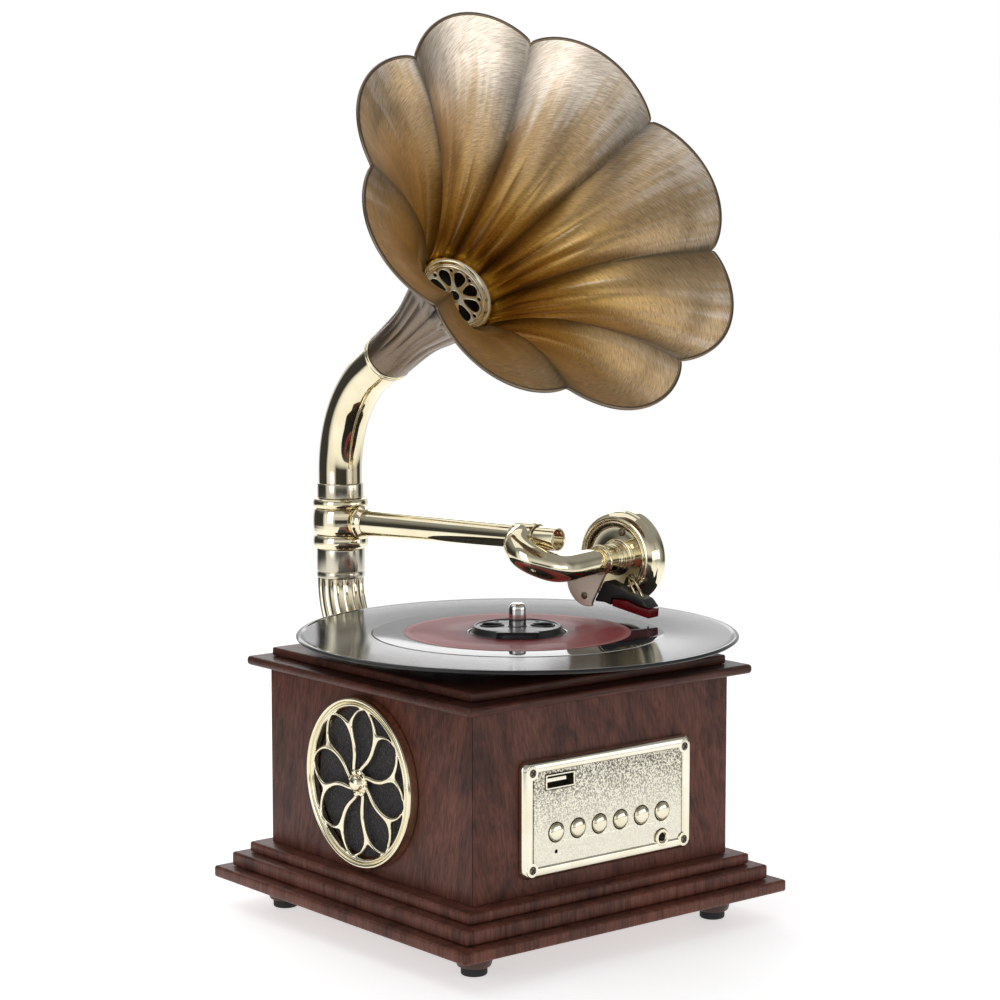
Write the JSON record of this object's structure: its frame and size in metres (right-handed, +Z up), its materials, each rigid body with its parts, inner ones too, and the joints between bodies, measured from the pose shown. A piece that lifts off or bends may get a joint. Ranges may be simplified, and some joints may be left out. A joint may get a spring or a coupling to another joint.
{
  "type": "record player",
  "caption": "Small record player in the shape of an old horn phonograph: wooden case, turntable with a record, swinging tone arm and a petalled horn on a bent tube.",
  "frame": {"origin": "centre of the bounding box, on the surface the feet stand on", "axes": "+Z up; -Y is the front with the control panel; the post stands at +Y; the tone arm lies to +X of the post"},
  "size_m": [0.1832, 0.2154, 0.3566],
  "materials": {
    "walnut_wood": "dark walnut grain under a satin lacquer",
    "polished_gold": "polished pale gold plating",
    "satin_gold": "satin turned gold plating",
    "brushed_bronze": "brushed antique bronze, worn pale on the petals",
    "hammered_gold": "hammered pale gold plate",
    "button_gold": "gold plated plastic caps",
    "socket_steel": "bright steel",
    "spindle_chrome": "polished chrome",
    "record_vinyl": "grooved black vinyl",
    "black_plastic": "moulded black plastic",
    "red_plastic": "moulded red plastic",
    "foot_rubber": "dark moulded rubber",
    "belt_rubber": "matte black rubber",
    "speaker_cloth": "open black weave",
    "speaker_black": "matte black cone and frame",
    "board_green": "green circuit board"
  },
  "bodies": {
    "case": {"bottom_board": "walnut_wood", "plinth_middle": "walnut_wood", "plinth_top": "walnut_wood", "front_wall": "walnut_wood", "back_wall": "walnut_wood", "left_wall": "walnut_wood", "right_wall": "walnut_wood", "top_board": "walnut_wood", "deck_board": "walnut_wood", "foot_front_left": "foot_rubber", "foot_front_right": "foot_rubber", "foot_back_left": "foot_rubber", "foot_back_right": "foot_rubber", "bracket_plate": "polished_gold", "power_inlet": "black_plastic", "control_panel": "hammered_gold", "usb_socket": "socket_steel", "aux_jack": "polished_gold", "circuit_board": "board_green", "left_grille": "polished_gold", "right_grille": "polished_gold", "left_speaker_cloth": "speaker_cloth", "right_speaker_cloth": "speaker_cloth", "left_speaker": "speaker_black", "right_speaker": "speaker_black", "platter_bearing": "socket_steel", "motor": "socket_steel", "drive_belt": "belt_rubber", "post_bracket": "polished_gold", "lower_sleeve": "satin_gold", "lower_bead": "polished_gold", "post_tube": "socket_steel"},
    "platter_body": {"platter": "black_plastic", "slip_mat": "belt_rubber", "record": "record_vinyl", "record_adapter": "black_plastic", "spindle": "spindle_chrome"},
    "motor_body": {"motor_pulley": "polished_gold"},
    "arm": {"pivot_barrel": "polished_gold", "tonearm_tube": "polished_gold"},
    "soundbox": {"goose_neck": "polished_gold", "soundbox_hub": "polished_gold", "soundbox_face": "polished_gold", "soundbox_rim": "polished_gold", "ear_plate": "polished_gold", "cartridge": "black_plastic", "needle_holder": "red_plastic"},
    "horn_body": {"upper_bead": "polished_gold", "upper_sleeve": "satin_gold", "horn_elbow": "polished_gold", "neck_collar": "polished_gold", "horn": "brushed_bronze", "throat_grille": "polished_gold", "horn_speaker": "speaker_black"},
    "button_1_body": {"button_1": "button_gold"},
    "button_2_body": {"button_2": "button_gold"},
    "button_3_body": {"button_3": "button_gold"},
    "button_4_body": {"button_4": "button_gold"},
    "button_5_body": {"button_5": "button_gold"},
    "button_6_body": {"button_6": "button_gold"}
  },
  "joints": [
    {"name": "platter_spin", "type": "hinge", "parent": "case", "child": "platter_body", "pos_m": [0.00411, -0.02015, 0.1066], "axis": [0, 0, -1], "continuous": true},
    {"name": "motor_spin", "type": "hinge", "parent": "case", "child": "motor_body", "pos_m": [-0.02842, 0.01238, 0.1066], "axis": [0, 0, -1], "continuous": true},
    {"name": "arm_swing", "type": "hinge", "parent": "case", "child": "arm", "pos_m": [0.00211, 0.09585, 0.1487], "axis": [0, 0, 1], "range_deg": [-6, 20]},
    {"name": "needle_lift", "type": "hinge", "parent": "arm", "child": "soundbox", "pos_m": [0.00211, 0.09585, 0.1487], "axis": [0.1942, -0.9809, 0.014], "range_deg": [0, 35]},
    {"name": "horn_swivel", "type": "hinge", "parent": "case", "child": "horn_body", "pos_m": [0.00211, 0.09585, 0.16], "axis": [0, 0, 1], "range_deg": [-45, 45]},
    {"name": "button_1_press", "type": "slide", "parent": "case", "child": "button_1_body", "axis": [0, 1, 0], "range_m": [0, 0.001], "stiffness_N_per_m": 300},
    {"name": "button_2_press", "type": "slide", "parent": "case", "child": "button_2_body", "axis": [0, 1, 0], "range_m": [0, 0.001], "stiffness_N_per_m": 300},
    {"name": "button_3_press", "type": "slide", "parent": "case", "child": "button_3_body", "axis": [0, 1, 0], "range_m": [0, 0.001], "stiffness_N_per_m": 300},
    {"name": "button_4_press", "type": "slide", "parent": "case", "child": "button_4_body", "axis": [0, 1, 0], "range_m": [0, 0.001], "stiffness_N_per_m": 300},
    {"name": "button_5_press", "type": "slide", "parent": "case", "child": "button_5_body", "axis": [0, 1, 0], "range_m": [0, 0.001], "stiffness_N_per_m": 300},
    {"name": "button_6_press", "type": "slide", "parent": "case", "child": "button_6_body", "axis": [0, 1, 0], "range_m": [0, 0.001], "stiffness_N_per_m": 300}
  ],
  "couplings": [
    {"joint": "motor_spin", "follows": "platter_spin", "ratio": 8.5}
  ]
}
